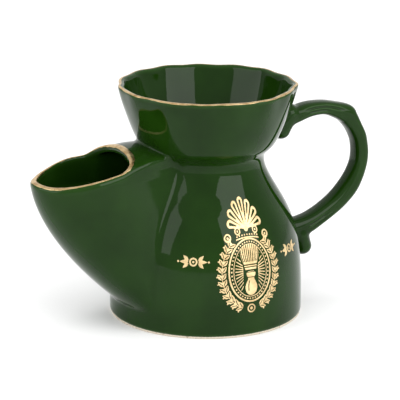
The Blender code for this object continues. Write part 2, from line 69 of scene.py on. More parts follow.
BELL_HOLLOW_TOP = [(23.6, 84.0), (0.0, 84.0)]
BOWL_SEAT_HEIGHT = 77.9
BOWL_FLOOR = 81.6
BOWL_OUTLINE = [(27.3, 77.9), (28.8, 78.9), (30.9, 80.8), (32.7, 83.4), (35.2, 88.6),
                (38.0, 96.4), (40.2, 103.0), (41.5, 108.9)]
BOWL_INNER_OUTLINE = [(38.4, 108.9), (36.9, 102.6), (34.7, 96.2), (31.8, 88.8),
                      (28.6, 84.0), (25.0, 81.6)]
BOWL_TOP = [(42.4, 113.0), (0.0, 113.0)]         # above the rim, which is rounded off lower
BOWL_HOLLOW_FLOOR = [(0.0, BOWL_FLOOR - 0.5), (16.0, BOWL_FLOOR - 0.3)]
BOWL_HOLLOW_TOP = [(39.4, 113.0), (0.0, 113.0)]
OUTLINE_STEPS = 6            # spans between two points of an outline
SOFTENING_ROUNDS = 10
BELL_SOFTENING_ROUNDS = 32
DRAIN_HOLE_RADIUS = 1.7
DRAIN_HOLE_COUNT = 6
DRAIN_CIRCLE_RADIUS = 13.0
# Hand-made waves of the bowl's rim: count round it, depth and phase in degrees.
RIM_WAVES = [(15, 0.36, 20.0), (7, 0.30, 150.0), (4, 0.20, 70.0)]
RIM_HEIGHT_WAVES = [(15, 0.10, 60.0), (5, 0.14, 200.0), (2, 0.16, 40.0)]

# Spout, the CAD's or close to it.
SPOUT_TIP = -87.3
SPOUT_TIP_HEIGHT = 72.0
KEEL_ROOT = -45.0
KEEL_ROOT_HEIGHT = 9.6
KEEL_FULLNESS = 1.70
SPOUT_HALF_WIDTH = 22.0
SPOUT_ROOT_HALF_WIDTH = 24.0
SPOUT_WIDEST = -58.0
SPOUT_ROOT_CENTRE = -34.0
SPOUT_CENTRE_POWER = 0.75
SPOUT_INNER_END = -17.0
SPOUT_NECK_HALF_WIDTH = 14.6
SPOUT_NECKING = (30.0, 76.0)
SPOUT_LIP = 3.4
MOUTH_SIDE_LIP = 2.4         # the lip is thinner along the mouth's sides
MOUTH_INNER_END = -44.4
MOUTH_SQUARENESS = 3.4       # of the mouth's inner end
DECK_CROWN = 0.0108
DECK_LINE = [(-87.3, 71.0), (-82.8, 71.8), (-77.5, 73.9), (-71.6, 76.2), (-64.6, 78.6),
             (-57.8, 80.2), (-52.0, 81.3), (-46.0, 82.8), (-41.0, 83.3), (-34.0, 83.8),
             (-17.0, 83.4)]
DECK_SLOPE = 0.147           # usual slope along the spout, so that its field is a distance
DECK_SIDE_SLOPE = 0.022      # slope across it, for each millimetre from the middle
# Hand-made waves of the deck's far edge: height, place and reach along x.
DECK_WAVES = [(0.40, -65.0, 8.0), (-0.55, -53.5, 4.0), (0.30, -46.0, 4.0)]
DECK_WAVE_SPAN = (4.0, 18.0)
SPOUT_BOTTOM = 7.6           # inside the bell's wall, below the keel's root
SPOUT_BOTTOM_SLOPE = 2.0     # steep, so that no skirt of the spout is left in the bell's floor
CAVITY_BOTTOM = 16.0
MOUTH_BOTTOM = 62.0
PORT_TOP = 60.0
SHOULDER_ROUNDING = 3.0
LIP_ROUNDING = 2.6
CAVITY_ROUNDING = 2.0
MOUTH_BLEND = 1.5
PORT_ROUNDING = 3.0
EDGE_ROUNDING = 1.6
TRIM_ROUNDING = 0.4

# Handle, the CAD's or close to it: edges of the strap in its own plane, as (x, height).
HANDLE_OUTER = [(35.0, 92.5), (46.6, 94.0), (54.0, 95.2), (61.0, 95.2), (68.2, 93.9),
                (74.7, 92.1), (76.5, 89.9), (79.6, 84.6), (83.2, 78.4), (84.9, 72.2), (85.4, 67.2),
                (84.8, 61.8), (83.0, 55.7), (80.0, 49.8), (74.2, 43.4), (68.0, 38.6),
                (61.6, 34.4), (56.2, 31.2), (48.0, 27.0), (38.0, 24.0)]
HANDLE_INNER = [(35.0, 82.0), (45.6, 85.7), (52.4, 87.9), (60.4, 88.2), (66.4, 86.0),
                (71.0, 83.1), (72.6, 81.5), (75.4, 77.8), (77.2, 73.4), (77.7, 70.0), (77.8, 66.4),
                (77.1, 62.0), (74.6, 56.8), (70.9, 51.9), (66.0, 47.3), (61.0, 44.0),
                (55.9, 41.4), (51.0, 39.6), (45.0, 38.8), (38.0, 38.4)]
STRAP_HALF_WIDTH = 5.5
STRAP_SQUARENESS = 2.6
STRAP_REACH = 8.5            # no part of the strap is further from its middle line
TOP_LOBE = ((42.2, 91.0), (38.3, 83.2), 4.6, 5.9)
BASE_LOBE = ((49.4, 30.2), (51.0, 24.7), 4.6, 6.0)
# Moulded grooves on the strap's sides: first and last span of the outline, place across the
# strap as a share of its half thickness (plus is outwards), and depth.
STRAP_GROOVES = [(1.2, 4.6, 0.32, 0.7), (1.2, 3.6, -0.10, 0.5), (14.6, 17.4, 0.30, 0.7),
                 (15.0, 17.6, -0.08, 0.5)]
GROOVE_HALF_WIDTH = 0.5
GLAZE_SHRINK = 0.2           # the fired strap is this much slimmer all round
LOBE_BLEND = 2.2             # fillet between a lobe and the strap

# Joins between the pieces.
LEAST_SLOPE = 0.004          # of a field that is divided by its slope
TUCK = 0.012                 # how far a fillet's edge dives under the glaze beside it
MID_WALL = 1.6               # pieces meet this far inside the wall
NECK_FILLET = 4.0
HANDLE_FILLET = 5.0
KEEL_FILLET = 2.4            # where the spout's keel meets the bell
VALLEY_FILLET = 3.6          # along the spout's sides
SADDLE_FILLET = 3.0          # beside the neck
SIDE_HEIGHTS = (16.0, 42.0)  # between these the spout's fillet grows
SADDLE_HEIGHTS = (60.0, 76.0)
SKIRT = 2.0                  # a fillet's edge is trimmed this far past its reach

# Meshes.
EVENING_ROUNDS = 3
RELIEF_LIMIT = 1.5

# Bare clay of the foot ring.
FOOT_MIDDLE_HEIGHT = 0.68
FOOT_HALF_HEIGHT = 0.6
FOOT_ROUNDING = 0.7
GRIT_DEPTH = 0.05

# Gilding of the rims.
GOLD_LIFT = 0.06
GOLD_DEPTH = 0.35
RIM_HALF_WIDTH = 1.6
# First and last angle of the gold round a lip, in degrees up from its outer side. The spout's
# differ between its tip and inner end and its sides.
BOWL_GOLD_SPREAD = (42.0, 88.0)
SPOUT_GOLD_END = (48.0, 160.0)
SPOUT_GOLD_SIDE = (80.0, 116.0)
GOLD_RAYS = 15
BOWL_GOLD_STEPS = 720
SPOUT_GOLD_STEPS = 560
# Wander of a hand-painted edge: degrees round the lip, and waves round the rim.
GOLD_EDGE_WAVES = [(3.5, 9.0), (2.5, 23.0), (1.5, 41.0)]


# Flat helpers -------------------------------------------------------------------------

def mix(start, end, share):
    return start + (end - start) * share


def share_of(value, low, high):
    """How far a value is from low to high, kept between 0 and 1."""
    return np.clip((value - low) / (high - low), 0.0, 1.0)


def ease(value, low, high):
    share = share_of(value, low, high)
    return share * share * (3.0 - 2.0 * share)


def smooth_line(points, steps):
    """Points on a Catmull-Rom curve through the given ones, with steps spans between each two."""
    knots = np.array(points, float)
    line = []
    for i in range(len(knots) - 1):
        a, b, c, d = (knots[max(i - 1, 0)], knots[i], knots[i + 1],
                      knots[min(i + 2, len(knots) - 1)])
        for t in np.arange(steps) / steps:
            line.append(0.5 * (2 * b + (c - a) * t + (2 * a - 5 * b + 4 * c - d) * t * t
                               + (3 * b - a - 3 * c + d) * t ** 3))
    line.append(knots[-1])
    return np.array(line)


def softened(line, rounds):
    """The line with its bends evened out; its ends stay."""
    for _ in range(rounds):
        line = np.concatenate([line[:1], (line[:-2] + 2.0 * line[1:-1] + line[2:]) / 4.0, line[-1:]])
    return line


def wall_line(outline, rounds=SOFTENING_ROUNDS):
    return softened(smooth_line(outline, OUTLINE_STEPS), rounds)


def nearest_on_line(line, a, b):
    """Distance from points (a, b) to an open line, the place along it and the side they are on."""
    best = np.full(np.shape(a), FAR * FAR)
    place = np.zeros(np.shape(a))
    side = np.ones(np.shape(a))
    for i in range(len(line) - 1):
        (a0, b0), (da, db) = line[i], line[i + 1] - line[i]
        if da == 0.0 and db == 0.0:
            continue
        t = np.clip(((a - a0) * da + (b - b0) * db) / (da * da + db * db), 0.0, 1.0)
        ea, eb = a - a0 - t * da, b - b0 - t * db
        far = ea * ea + eb * eb
        closer = far < best
        best = np.where(closer, far, best)
        place = np.where(closer, i + t, place)
        side = np.where(closer, np.sign(da * eb - db * ea), side)
    return np.sqrt(best), place, side


def inside_outline(corners, a, b):
    inside = np.zeros(np.shape(a), bool)
    for (a0, b0), (a1, b1) in zip(corners, np.roll(corners, -1, axis=0)):
        if b0 == b1:
            continue
        crosses = (b0 > b) != (b1 > b)
        inside ^= crosses & (a < (a1 - a0) * (b - b0) / (b1 - b0) + a0)
    return inside


class Table:
    """Values of a flat function on a fine grid, read between the grid's points."""

    def __init__(self, low, high, step, function):
        self.low = np.array(low, float)
        self.step = step
        self.count = [int((high[i] - low[i]) / step) + 2 for i in (0, 1)]
        a, b = np.meshgrid(*(self.low[i] + step * np.arange(self.count[i]) for i in (0, 1)),
                           indexing="ij")
        self.values = function(a, b)

    def __call__(self, a, b):
        u = np.clip((a - self.low[0]) / self.step, 0.0, self.count[0] - 1.001)
        v = np.clip((b - self.low[1]) / self.step, 0.0, self.count[1] - 1.001)
        i, j = u.astype(int), v.astype(int)
        u, v = u - i, v - j
        t = self.values
        return ((t[i, j] * (1 - u) + t[i + 1, j] * u) * (1 - v)
                + (t[i, j + 1] * (1 - u) + t[i + 1, j + 1] * u) * v)


def turned_field(outline, low=-8.0, high=122.0, reach=64.0, step=0.25):
    """Distance to a turned solid, from the right half of its outline, bottom to top."""
    half = np.array(outline, float)
    corners = np.concatenate([half, half[::-1] * (-1.0, 1.0)])
    closed = np.concatenate([corners, corners[:1]])

    def distance(a, b):
        far = nearest_on_line(closed, a, b)[0]
        return np.where(inside_outline(corners, a, b), -far, far)

    table = Table((-1.0, low), (reach, high), step, distance)

    def field(radius, height):
        return table(radius, height) + np.maximum(radius - reach, 0.0)
    return field


# Ways to join fields ------------------------------------------------------------------

def smooth_min(a, b, size):
    """Union with a fillet of about this size."""
    overlap = np.maximum(1.0 - np.abs(a - b) / size, 0.0)
    return np.minimum(a, b) - size * overlap ** 3 / 6.0


def smooth_max(a, b, size):
    """Intersection with a rounded edge of about this size."""
    return -smooth_min(-a, -b, size)


def as_distance(shape, x, y, z, step=0.05):
    """A field whose zero is right, divided by its slope so that it measures millimetres."""
    value = shape(x, y, z)
    slope = np.zeros(np.shape(value))
    for dx, dy, dz in ((step, 0, 0), (0, step, 0), (0, 0, step)):
        slope += ((shape(x + dx, y + dy, z + dz) - value) / step) ** 2
    return value / np.maximum(np.sqrt(slope), LEAST_SLOPE)


# Bell and bowl ------------------------------------------------------------------------

bell_wall = wall_line(BELL_OUTLINE, BELL_SOFTENING_ROUNDS)
bell_field = turned_field([*BELL_FOOT, *bell_wall, *BELL_TOP])
bell_hollow_field = turned_field([(0.0, BELL_FLOOR), *wall_line(BELL_INNER_OUTLINE[::-1]),
                                  *BELL_HOLLOW_TOP])
bowl_field = turned_field([(0.0, BOWL_SEAT_HEIGHT), *wall_line(BOWL_OUTLINE), *BOWL_TOP])
bowl_hollow_field = turned_field([*BOWL_HOLLOW_FLOOR, *wall_line(BOWL_INNER_OUTLINE[::-1]),
                                  *BOWL_HOLLOW_TOP])


def waves(table, angle):
    return sum(depth * np.cos(count * angle + radians(phase)) for count, depth, phase in table)


def bowl_radius(x, y, z):
    """Distance from the axis, less the rim's waves, which fade out towards the floor."""
    rise = share_of(z, BOWL_FLOOR, RIM_HEIGHT)
    return np.hypot(x, y) - waves(RIM_WAVES, np.arctan2(y, x)) * rise ** 2.5


def bowl_outside(x, y, z):
    return bowl_field(bowl_radius(x, y, z), z)


def bowl_shell(x, y, z):
    radius = bowl_radius(x, y, z)
    shell = smooth_max(bowl_field(radius, z), -bowl_hollow_field(radius, z), LIP_ROUNDING)
    top = RIM_HEIGHT + waves(RIM_HEIGHT_WAVES, np.arctan2(y, x))
    return smooth_max(shell, z - top, LIP_ROUNDING)


def bowl_with_drains(x, y, z):
    shell = bowl_shell(x, y, z)
    angle = np.arctan2(y, x)
    sector = 2 * pi / DRAIN_HOLE_COUNT
    turned = angle - sector * np.round(angle / sector)
    radius = np.hypot(x, y)
    ring = np.hypot(radius * np.cos(turned) - DRAIN_CIRCLE_RADIUS, radius * np.sin(turned))
    holes = np.minimum(ring, radius) - DRAIN_HOLE_RADIUS
    return smooth_max(shell, -holes, EDGE_ROUNDING)


# Spout --------------------------------------------------------------------------------

def keel_x(z):
    drop = np.maximum(1.0 - (z - KEEL_ROOT_HEIGHT) / (SPOUT_TIP_HEIGHT - KEEL_ROOT_HEIGHT), 0.0)
    return mix(SPOUT_TIP, KEEL_ROOT, drop ** KEEL_FULLNESS)


def spout_slice(z, inset):
    """Centre, nose length and half width of the spout's horizontal slice."""
    rise = share_of(z, KEEL_ROOT_HEIGHT, SPOUT_TIP_HEIGHT)
    centre = mix(SPOUT_ROOT_CENTRE, SPOUT_WIDEST, rise ** SPOUT_CENTRE_POWER)
    slant = (keel_x(z + 1.0) - keel_x(z - 1.0)) / 2.0
    nose = centre - keel_x(z) - inset * np.sqrt(1.0 + slant * slant)
    width = mix(SPOUT_ROOT_HALF_WIDTH, SPOUT_HALF_WIDTH, rise) - inset
    return centre, np.maximum(nose, 1.0), width


def spout_walls(inset):
    def shape(x, y, z):
        centre, nose, width = spout_slice(z, inset)
        necking = share_of(z, *SPOUT_NECKING)
        end_width = mix(SPOUT_ROOT_HALF_WIDTH, SPOUT_NECK_HALF_WIDTH, necking) - inset
        side_width = mix(width, end_width, ease(x, centre, SPOUT_INNER_END))
        front = np.hypot((x - centre) / nose, y / width)
        return np.where(x < centre, front, np.abs(y) / side_width) - 1.0
    return shape


def mouth_walls(x, y, z):
    centre, nose, width = spout_slice(np.minimum(z, SPOUT_TIP_HEIGHT), SPOUT_LIP)
    reach = np.where(x < centre, nose, MOUTH_INNER_END - centre)
    along, across = np.abs((x - centre) / reach), np.abs(y / (width + SPOUT_LIP - MOUTH_SIDE_LIP))
    power = np.where(x < centre, 2.0, MOUTH_SQUARENESS)
    return (along ** power + across ** power) ** (1.0 / power) - 1.0


deck_points = smooth_line(DECK_LINE, 8)


def deck_height(x, y):
    """Crowned deck, with a shallow hand-made wave in its far edge."""
    height = np.interp(x, deck_points[:, 0], deck_points[:, 1]) - DECK_CROWN * y * y
    wave = sum(rise * np.exp(-((x - place) / reach) ** 2) for rise, place, reach in DECK_WAVES)
    return height + wave * ease(y, *DECK_WAVE_SPAN)


def deck_field(x, y, z):
    slope = DECK_SLOPE + DECK_SIDE_SLOPE * np.abs(y)
    return (z - deck_height(x, y)) / np.sqrt(1.0 + slope ** 2)


def spout_outside(x, y, z):
    walls = np.maximum(as_distance(spout_walls(0.0), x, y, z), x - SPOUT_INNER_END)
    walls = smooth_max(walls, SPOUT_BOTTOM_SLOPE * (SPOUT_BOTTOM - z), EDGE_ROUNDING)
    return smooth_max(walls, deck_field(x, y, z), SHOULDER_ROUNDING)


def spout_air(x, y, z):
    """Hollow of the spout, kept off the bowl and off the reservoir's upper wall."""
    air = np.maximum(as_distance(spout_walls(WALL), x, y, z), x - SPOUT_INNER_END)
    air = smooth_max(air, deck_field(x, y, z) + WALL, CAVITY_ROUNDING)
    air = smooth_max(air, CAVITY_BOTTOM - z, CAVITY_ROUNDING)
    upper_bell = np.maximum(bell_field(np.hypot(x, y), z), PORT_TOP - z)
    air = smooth_max(air, -upper_bell, CAVITY_ROUNDING)
    air = smooth_max(air, WALL - bowl_outside(x, y, z), CAVITY_ROUNDING)
    mouth = smooth_max(as_distance(mouth_walls, x, y, z), MOUTH_BOTTOM - z, CAVITY_ROUNDING)
    return smooth_min(air, mouth, MOUTH_BLEND)


def bell_outside(x, y, z):
    return bell_field(np.hypot(x, y), z)


def turned_outside(x, y, z):
    """Bell and bowl as one skin."""
    return smooth_min(bell_outside(x, y, z), bowl_outside(x, y, z), NECK_FILLET)


def spout_fillet(z):
    """Crisp at the keel's root, softer up the sides and tighter beside the neck."""
    side = mix(KEEL_FILLET, VALLEY_FILLET, ease(z, *SIDE_HEIGHTS))
    return side - (VALLEY_FILLET - SADDLE_FILLET) * ease(z, *SADDLE_HEIGHTS)


def joined(piece, wall, fillet):
    """A piece with the fillet that spreads onto a wall, trimmed inside it and past its reach."""
    solid = smooth_min(piece, wall + TUCK, fillet)
    return smooth_max(solid, piece - fillet - SKIRT, TRIM_ROUNDING)


def reservoir(x, y, z):
    """Bell with the fillet up onto the bowl, and the port into the spout."""
    bowl = bowl_outside(x, y, z)
    solid = joined(bell_outside(x, y, z), bowl, NECK_FILLET)
    air = smooth_min(bell_hollow_field(np.hypot(x, y), z), spout_air(x, y, z), PORT_ROUNDING)
    solid = smooth_max(solid, -air, LIP_ROUNDING)
    return smooth_max(solid, -(bowl + MID_WALL), TRIM_ROUNDING)


def spout(x, y, z):
    wall = turned_outside(x, y, z)
    solid = joined(spout_outside(x, y, z), wall, spout_fillet(z))
    solid = smooth_max(solid, -spout_air(x, y, z), LIP_ROUNDING)
    return smooth_max(solid, -(wall + MID_WALL), TRIM_ROUNDING)


# Handle -------------------------------------------------------------------------------

strap_outer = smooth_line(HANDLE_OUTER, OUTLINE_STEPS)
strap_inner = smooth_line(HANDLE_INNER, OUTLINE_STEPS)
strap_middle = (strap_outer + strap_inner) / 2
strap_half = np.hypot(*(strap_outer - strap_inner).T) / 2


class StrapTables:
    """Distance from the strap's middle line, which side of it, and the place along it."""

    def __init__(self, low=(20.0, 6.0), high=(92.0, 108.0), step=0.2):
        self.far = Table(low, high, step, self.measure)
        self.side = Table(low, high, step, lambda a, b: self.found[0] * self.found[2])
        self.place = Table(low, high, step, lambda a, b: self.found[1])

    def measure(self, a, b):
        self.found = nearest_on_line(strap_middle, a, b)
        return self.found[0]


strap_tables = StrapTables()


def strap_shape(x, y, z):
    far, place = strap_tables.far(x, z), strap_tables.place(x, z)
    half = np.interp(place, np.arange(len(strap_half)), strap_half)
    width = np.full(np.shape(far), STRAP_HALF_WIDTH)
    spans = place / OUTLINE_STEPS
    for first, last, position, depth in STRAP_GROOVES:
        run = ease(spans, first, first + 0.8) * (1.0 - ease(spans, last - 0.8, last))
        offset = strap_tables.side(x, z) - position * half
        width -= depth * run * np.exp(-(offset / GROOVE_HALF_WIDTH) ** 2)
    power = STRAP_SQUARENESS
    return ((far / half) ** power + np.abs(y / width) ** power) ** (1 / power) - 1.0


def lobe_shape(start, end, radius, half_width):
    line = np.array([start, end], float)

    def shape(x, y, z):
        far = nearest_on_line(line, x, z)[0]
        return np.hypot(far / radius, y / half_width) - 1.0
    return shape


def handle_alone(x, y, z):
    strap = as_distance(strap_shape, x, y, z) + GLAZE_SHRINK
    strap = np.maximum(strap, strap_tables.far(x, z) - STRAP_REACH)
    for lobe in (TOP_LOBE, BASE_LOBE):
        strap = smooth_min(strap, as_distance(lobe_shape(*lobe), x, y, z), LOBE_BLEND)
    return strap


def handle(x, y, z):
    """Strap and lobes with the fillet that spreads onto the mug's wall."""
    wall = turned_outside(x, y, z)
    solid = joined(handle_alone(x, y, z), wall, HANDLE_FILLET)
    return smooth_max(solid, -(wall + MID_WALL), TRIM_ROUNDING)


# Meshing ------------------------------------------------------------------------------

def sample(field, axes, slab=24):
    """Field values on a grid, worked out a few layers at a time to spare memory."""
    layers = []
    for start in range(0, len(axes[0]), slab):
        x, y, z = np.meshgrid(axes[0][start:start + slab], axes[1], axes[2], indexing="ij")
        layers.append(field(x, y, z).astype(np.float32))
    return np.concatenate(layers)


def grid_edges(axis):
    """Where the first and second points of the grid's edges along an axis are."""
    first, second = [slice(None)] * 3, [slice(None)] * 3
    first[axis], second[axis] = slice(0, -1), slice(1, None)
    return tuple(first), tuple(second)


def surface_nets(field, low, high, steps):
    """Points and quads of the field's zero surface."""
    axes = [low[i] + steps[i] * np.arange(int((high[i] - low[i]) / steps[i]) + 2) for i in range(3)]
    values = sample(field, axes)
    inside = values < 0.0
    cells = tuple(np.array(values.shape) - 1)
    total, hits = np.zeros(cells + (3,), np.float32), np.zeros(cells, np.int32)
    for axis in range(3):
        first, second = grid_edges(axis)
        a, b = values[first], values[second]
        crossing = inside[first] != inside[second]
        place = np.where(crossing, a / np.where(crossing, a - b, 1.0), 0.0)
        others = [i for i in range(3) if i != axis]
        for i in (0, 1):
            for j in (0, 1):
                cut = [slice(None)] * 3
                cut[others[0]] = slice(i, i + cells[others[0]])
                cut[others[1]] = slice(j, j + cells[others[1]])
                found, where = crossing[tuple(cut)], place[tuple(cut)]
                hits += found
                total[..., axis] += where
                total[..., others[0]] += i * found
                total[..., others[1]] += j * found
    active = hits > 0
    number = np.full(cells, -1, np.int64)
    number[active] = np.arange(active.sum())
    where = np.argwhere(active)
    local = total[active] / hits[active][:, None]
    points = np.array(low) + (where + local) * np.array(steps)
    return points, net_quads(inside, number)


def net_quads(inside, number):
    """One quad round each grid edge that crosses the surface, facing outwards."""
    quads = []
    for axis in range(3):
        others = [(axis + 1) % 3, (axis + 2) % 3]
        first, second = grid_edges(axis)
        start, end = inside[first], inside[second]
        edges = np.argwhere(start != end)
        edges = edges[(edges[:, others[0]] > 0) & (edges[:, others[1]] > 0)]
        outward = start[tuple(edges.T)]
        corners = []
        for u, v in ((1, 1), (0, 1), (0, 0), (1, 0)):
            cell = edges.copy()
            cell[:, others[0]] -= u
            cell[:, others[1]] -= v
            corners.append(number[tuple(cell.T)])
        quad = np.stack(corners, 1)
        quad[~outward] = quad[~outward][:, ::-1]
        quads.append(quad)
    return np.concatenate(quads)


def slope_of(field, points, step=0.02):
    x, y, z = points.T
    parts = []
    for axis in range(3):
        ahead, behind = points.copy(), points.copy()
        ahead[:, axis] += step
        behind[:, axis] -= step
        parts.append((field(*ahead.T) - field(*behind.T)) / (2 * step))
    return np.stack(parts, 1)


def onto_surface(field, points, level=0.0, rounds=3, limit=0.4):
    """Points moved along the field's slope until the field has the given level there."""
    for _ in range(rounds):
        slope = slope_of(field, points)
        square = np.maximum((slope ** 2).sum(1), 1e-3)
        move = -slope * ((field(*points.T) - level) / square)[:, None]
        length = np.sqrt((move ** 2).sum(1))
        points = points + move * np.minimum(1.0, limit / np.maximum(length, 1e-9))[:, None]
    return points


def evened(points, quads):
    """Each point at the middle of its neighbours, to even out the net."""
    a = np.concatenate([quads[:, i] for i in range(4)])
    b = np.concatenate([quads[:, (i + 1) % 4] for i in range(4)])
    count = np.bincount(a, minlength=len(points))
    sums = np.stack([np.bincount(a, points[b, i], len(points)) for i in range(3)], 1)
    return sums / count[:, None]


def make_mesh(name, points, faces):
    """Mesh object from points in millimetres."""
    mesh = bpy.data.meshes.new(name)
    mesh.from_pydata((np.asarray(points) * MM).tolist(), [], np.asarray(faces).tolist())
    mesh.validate()
    mesh.shade_smooth()
    item = bpy.data.objects.new(name, mesh)
    bpy.context.scene.collection.objects.link(item)
    return item


def solid_from_field(name, field, low, high, step, relief=True):
    """Closed mesh of a field's surface; its relief is the field's bend, for the glaze."""
    points, quads = surface_nets(field, low, high, (step,) * 3)
    for _ in range(EVENING_ROUNDS):
        points = onto_surface(field, points, rounds=1, limit=step / 2)
        points = mix(points, evened(points, quads), 0.5)
    points = onto_surface(field, points, limit=step / 2)
    item = make_mesh(name, points, quads)
    if relief:
        add_relief(item, field, points)
    return item


def add_relief(item, field, points, step=0.6):
    """Bend of the surface at each point, per mm: plus on edges and minus in creases."""
    bend = -6.0 * field(*points.T)
    for axis in range(3):
        for sign in (-1, 1):
            moved = points.copy()
            moved[:, axis] += sign * step
            bend += field(*moved.T)
    bend = np.clip(bend / (step * step), -RELIEF_LIMIT, RELIEF_LIMIT)
    attribute = item.data.attributes.new("relief", "FLOAT", "POINT")
    attribute.data.foreach_set("value", bend.astype(np.float32))


# Camera, stage and lights -------------------------------------------------------------

CAMERA_AZIMUTH = -26.0       # degrees from the front, towards the spout
CAMERA_ELEVATION = 16.3
CAMERA_DISTANCE = 1.091
CAMERA_LENS = 210.0
CAMERA_ROLL = 0.5
SENSOR_WIDTH = 36.0
AIM_HEIGHT = 0.053
AIM_SIDE = -0.0029           # the camera aims this far to the side of the axis
# Lights: azimuth from the front, elevation, distance, width and height, and power.
TOP_PANEL = (0.0, 88.0, 1.4, (1.6, 1.6), 11.0)
RIGHT_SOFTBOX = (22.0, 27.0, 1.2, (1.0, 0.80), 9.0)
LEFT_SOFTBOX = (-92.0, 24.0, 1.2, (1.0, 0.75), 5.7)
WORLD_STRENGTH = 0.75
SWEEP_WHITE = (0.93, 0.93, 0.93)


def build_camera():
    azimuth, elevation = radians(CAMERA_AZIMUTH), radians(CAMERA_ELEVATION)
    back = Vector((sin(azimuth) * cos(elevation), -cos(azimuth) * cos(elevation), sin(elevation)))
    right = Vector((0.0, 0.0, 1.0)).cross(back).normalized()
    up = back.cross(right)
    roll = radians(CAMERA_ROLL)
    right, up = right * cos(roll) + up * sin(roll), up * cos(roll) - right * sin(roll)
    data = bpy.data.cameras.new("camera")
    data.lens = CAMERA_LENS
    data.sensor_width = SENSOR_WIDTH
    camera = bpy.data.objects.new("camera", data)
    place = Vector((0.0, 0.0, AIM_HEIGHT)) + right * AIM_SIDE + back * CAMERA_DISTANCE
    rows = [(right[i], up[i], back[i], place[i]) for i in range(3)]
    camera.matrix_world = Matrix(rows + [(0.0, 0.0, 0.0, 1.0)])
    bpy.context.scene.collection.objects.link(camera)
    bpy.context.scene.camera = camera


def add_light(name, azimuth, elevation, distance, size, power, aim=(0.0, 0.0, 0.055)):
    """Soft rectangular light that faces the mug from a direction given in degrees."""
    a, e = radians(azimuth), radians(elevation)
    towards = Vector((sin(a) * cos(e), -cos(a) * cos(e), sin(e)))
    data = bpy.data.lights.new(name, "AREA")
    data.shape = "RECTANGLE"
    data.size, data.size_y = size
    data.energy = power
    light = bpy.data.objects.new(name, data)
    light.location = Vector(aim) + towards * distance
    light.rotation_euler = towards.to_track_quat("Z", "Y").to_euler()
    bpy.context.scene.collection.objects.link(light)
    return light


def plain_material(name, color, roughness):
    material = bpy.data.materials.new(name)
    material.use_nodes = True
    shader = material.node_tree.nodes["Principled BSDF"]
    shader.inputs["Base Color"].default_value = (*color, 1.0)
    shader.inputs["Roughness"].default_value = roughness
    return material


def build_stage():
    """Pale sweep: a floor that curves up behind the mug."""
    half, rise, bend, run = 2.5, 2.0, 0.8, 2.2
    profile = [(-run, 0.0), (run - bend, 0.0)]
    profile += [(run - bend + bend * sin(t), bend - bend * cos(t))
                for t in np.linspace(0.1, pi / 2, 12)]
    profile.append((run, rise))
    turn = Matrix.Rotation(radians(CAMERA_AZIMUTH), 3, "Z")
    points, faces = [], []
    for along, height in profile:
        for side in (-half, half):
            points.append(turn @ Vector((side, along, height)))
    for i in range(len(profile) - 1):
        faces.append((2 * i, 2 * i + 1, 2 * i + 3, 2 * i + 2))
    mesh = bpy.data.meshes.new("sweep")
    mesh.from_pydata(points, [], faces)
    mesh.shade_smooth()
    mesh.materials.append(plain_material("sweep_white", SWEEP_WHITE, 0.9))
    sweep = bpy.data.objects.new("sweep", mesh)
    bpy.context.scene.collection.objects.link(sweep)


def build_lights():
    world = bpy.data.worlds.new("studio")
    bpy.context.scene.world = world
    world.use_nodes = True
    background = world.node_tree.nodes["Background"]
    background.inputs["Color"].default_value = (1.0, 1.0, 1.0, 1.0)
    background.inputs["Strength"].default_value = WORLD_STRENGTH
    top = add_light("top_panel", *TOP_PANEL)
    top.visible_glossy = False
    add_light("right_softbox", *RIGHT_SOFTBOX)
    add_light("left_softbox", *LEFT_SOFTBOX)
    bpy.context.scene.view_settings.view_transform = "Standard"


# Materials ----------------------------------------------------------------------------

class Nodes:
    """A small helper that adds and links shader nodes."""

    def __init__(self, name):
        self.material = bpy.data.materials.new(name)
        self.material.use_nodes = True
        self.tree = self.material.node_tree
        self.shader = self.tree.nodes["Principled BSDF"]

    def add(self, kind, inputs=(), **settings):
        node = self.tree.nodes.new(kind)
        for key, value in settings.items():
            setattr(node, key, value)
        for socket, value in dict(inputs).items():
            if isinstance(value, bpy.types.NodeSocket):
                self.tree.links.new(value, node.inputs[socket])
            else:
                node.inputs[socket].default_value = value
        return node

    def noise(self, scale, detail):
        vector = self.add("ShaderNodeTexCoord").outputs["Object"]
        node = self.add("ShaderNodeTexNoise", {"Vector": vector, "Scale": scale, "Detail": detail})
        return node.outputs["Fac"]

    def span(self, value, low, high, to_low, to_high):
        node = self.add("ShaderNodeMapRange", {"Value": value, "From Min": low, "From Max": high,
                                               "To Min": to_low, "To Max": to_high})
        return node.outputs["Result"]

    def blend(self, share, a, b):
        node = self.tree.nodes.new("ShaderNodeMix")
        node.data_type = "RGBA"
        for socket, value in ((node.inputs[0], share), (node.inputs[6], a), (node.inputs[7], b)):
            if isinstance(value, bpy.types.NodeSocket):
                self.tree.links.new(value, socket)
            else:
                socket.default_value = value if isinstance(value, float) else (*value, 1.0)
        return node.outputs[2]

    def bump(self, height, strength, distance, normal=None):
        inputs = {"Height": height, "Strength": strength, "Distance": distance}
        if normal:
            inputs["Normal"] = normal
        return self.add("ShaderNodeBump", inputs).outputs["Normal"]

    def set(self, **values):
        for key, value in values.items():
            socket = self.shader.inputs[key.replace("_", " ")]
            if isinstance(value, bpy.types.NodeSocket):
                self.tree.links.new(value, socket)
            else:
                socket.default_value = value


GLAZE_DEEP = (0.0055, 0.0230, 0.0010)
GLAZE_BODY = (0.0088, 0.0330, 0.0022)
GLAZE_THIN = (0.0180, 0.0560, 0.0080)
GLAZE_SPECULAR = 0.16
CLAY_BUFF = (0.56, 0.48, 0.37)
CLAY_PALE = (0.72, 0.65, 0.54)
CLAY_SPECK = (0.22, 0.15, 0.09)
